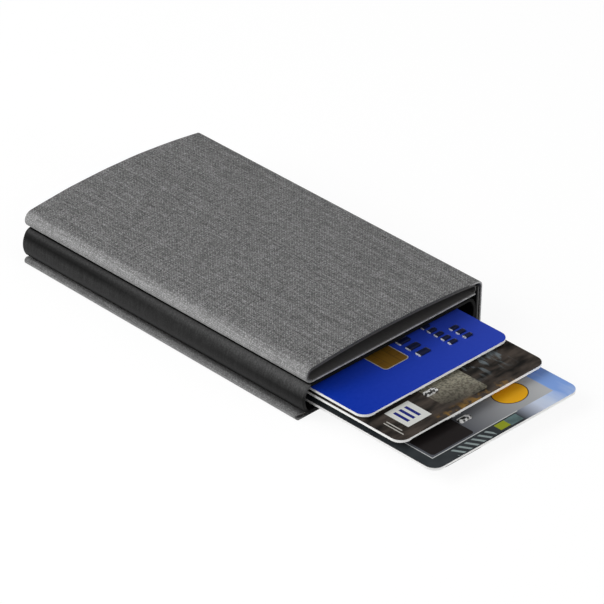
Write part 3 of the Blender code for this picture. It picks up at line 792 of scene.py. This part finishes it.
# One rounded tablet: a block, its corners rounded in plan and its top edge eased.
def tablet(name, row):
    make = {"height": 0.38, "corner": 0.45, "easeIn": 0.16, "easeDown": 0.14}
    bpy.ops.object.select_all(action="DESELECT")
    bpy.ops.mesh.primitive_cube_add(size=1.0, location=(0, 0, make["height"] / 2 * mm))
    piece = bpy.context.object
    piece.name = name
    piece.dimensions = (row["long"] * mm, row["wide"] * mm, make["height"] * mm)
    bpy.ops.object.transform_apply(location=True, rotation=True, scale=True)
    for edge in piece.data.edges:
        ends = [piece.data.vertices[v].co for v in edge.vertices]
        edge.select = abs(ends[0].z - ends[1].z) > make["height"] / 2 * mm
    bpy.ops.object.mode_set(mode="EDIT")
    bpy.context.tool_settings.mesh_select_mode = (False, True, False)
    bpy.ops.mesh.bevel(offset=make["corner"] * mm, segments=4, affect="EDGES")
    bpy.ops.mesh.select_all(action="DESELECT")
    bpy.ops.object.mode_set(mode="OBJECT")
    for face in piece.data.polygons:
        face.select = face.normal.z > 0.9
    bpy.ops.object.mode_set(mode="EDIT")
    bpy.context.tool_settings.mesh_select_mode = (False, False, True)
    bpy.ops.mesh.inset(thickness=make["easeIn"] * mm)
    bpy.ops.object.mode_set(mode="OBJECT")
    inner = [v for face in piece.data.polygons if face.select for v in face.vertices]
    for vert in piece.data.vertices:
        if vert.co.z > make["height"] * 0.9 * mm and vert.index not in inner:
            vert.co.z -= make["easeDown"] * mm
    bpy.ops.object.shade_smooth_by_angle(angle=math.radians(40))
    return piece


def markRow(name, row, card, finish):
    first = tablet(name, row)
    copies = [first]
    for i in range(1, row["count"]):
        copy = first.copy()
        copy.data = first.data.copy()
        bpy.context.collection.objects.link(copy)
        copies.append(copy)
    for i, copy in enumerate(copies):
        y = row["start"] + row["pitch"] * i + row["gap"] * (i // 4)
        copy.location = (row["x"] * mm, (y + row["wide"] / 2) * mm, row["z"] * mm)
    bpy.ops.object.select_all(action="DESELECT")
    for copy in copies:
        copy.select_set(True)
    bpy.context.view_layer.objects.active = first
    bpy.ops.object.join()
    bpy.ops.object.transform_apply(location=True, rotation=True, scale=True)
    first.data.materials.append(finish)
    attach(first, card)


foilFinish = foilMark()
for name in ("large", "small", "date"):
    markRow(name + "_raised_marks", marks[name], "upper_card", foilFinish)
silverFinish = silverFoil()
for name in ("middle", "lower"):
    markRow(name + "_card_marks", marks[name], name + "_card", silverFinish)
print("card details made")


# Floor, light and camera
def plainFloor():
    bpy.ops.object.select_all(action="DESELECT")
    bpy.ops.mesh.primitive_plane_add(size=6.0, location=(0, 0, 0))
    floor = bpy.context.object
    floor.name = "floor"
    floor.location.z = -0.02 * mm
    material = bpy.data.materials.new("white_floor")
    material.use_nodes = True
    tree = material.node_tree
    tree.nodes.clear()
    diffuse = addNode(tree, "ShaderNodeBsdfDiffuse", {"Color": grey(0.6)})
    glow = addNode(tree, "ShaderNodeEmission", {"Color": grey(1.0), "Strength": 1.15})
    seen = addNode(tree, "ShaderNodeMixShader", {0: 0.78, 1: diffuse.outputs[0], 2: glow.outputs[0]})
    rays = addNode(tree, "ShaderNodeLightPath")
    direct = calc(tree, "MAXIMUM", rays.outputs["Is Camera Ray"], rays.outputs["Is Glossy Ray"])
    direct = calc(tree, "MAXIMUM", direct, rays.outputs["Is Transmission Ray"])
    both = addNode(tree, "ShaderNodeMixShader", {0: direct, 1: diffuse.outputs[0], 2: seen.outputs[0]})
    addNode(tree, "ShaderNodeOutputMaterial", {"Surface": both.outputs[0]})
    floor.data.materials.append(material)


def softWorld(strength):
    world = bpy.data.worlds.new("studio")
    bpy.context.scene.world = world
    world.use_nodes = True
    tree = world.node_tree
    tree.nodes.clear()
    fill = addNode(tree, "ShaderNodeBackground", {"Color": grey(1.0), "Strength": strength})
    white = addNode(tree, "ShaderNodeBackground", {"Color": grey(1.0), "Strength": 1.0})
    rays = addNode(tree, "ShaderNodeLightPath")
    direct = calc(tree, "MAXIMUM", rays.outputs["Is Camera Ray"], rays.outputs["Is Transmission Ray"])
    both = addNode(tree, "ShaderNodeMixShader", {0: direct, 1: fill.outputs[0], 2: white.outputs[0]})
    addNode(tree, "ShaderNodeOutputWorld", {"Surface": both.outputs[0]})


def softLamp(name, place, size, power):
    bpy.ops.object.select_all(action="DESELECT")
    bpy.ops.object.light_add(type="AREA", location=place)
    lamp = bpy.context.object
    lamp.name = name
    lamp.data.size = size
    lamp.data.energy = power
    lamp.rotation_mode = "QUATERNION"
    lamp.rotation_quaternion = (-Vector(place)).to_track_quat("-Z", "Y")


plainFloor()
softWorld(0.19)
softLamp("key_lamp", (-0.98, 0.45, 0.6), 1.1, 11.0)
softLamp("front_lamp", (0.0, -1.0, 0.95), 1.0, 3.6)
softLamp("low_lamp", (0.3, -1.2, 0.1), 0.5, 6.5)
softLamp("rear_lamp", (-0.45, 0.8, 0.75), 1.2, 5.0)

view = {"azimuth": -45.256, "elevation": 32.365, "roll": 0.789, "distance": 1302.99,
        "target": (7.97, -11.841, 0.0), "lens": 293.75}
around, up = math.radians(view["azimuth"]), math.radians(view["elevation"])
back = Vector((math.sin(around) * math.cos(up), -math.cos(around) * math.cos(up), math.sin(up)))
bpy.ops.object.camera_add(location=(Vector(view["target"]) + back * view["distance"]) * mm)
camera = bpy.context.object
camera.data.sensor_width = 36.0
camera.data.lens = view["lens"]
camera.data.clip_start = 0.01
camera.rotation_mode = "QUATERNION"
level = (-back).to_track_quat("-Z", "Y")
camera.rotation_quaternion = level @ Quaternion((0, 0, 1), math.radians(view["roll"]))
bpy.context.scene.camera = camera
bpy.context.scene.view_settings.view_transform = "Standard"
print("floor, light and camera set")
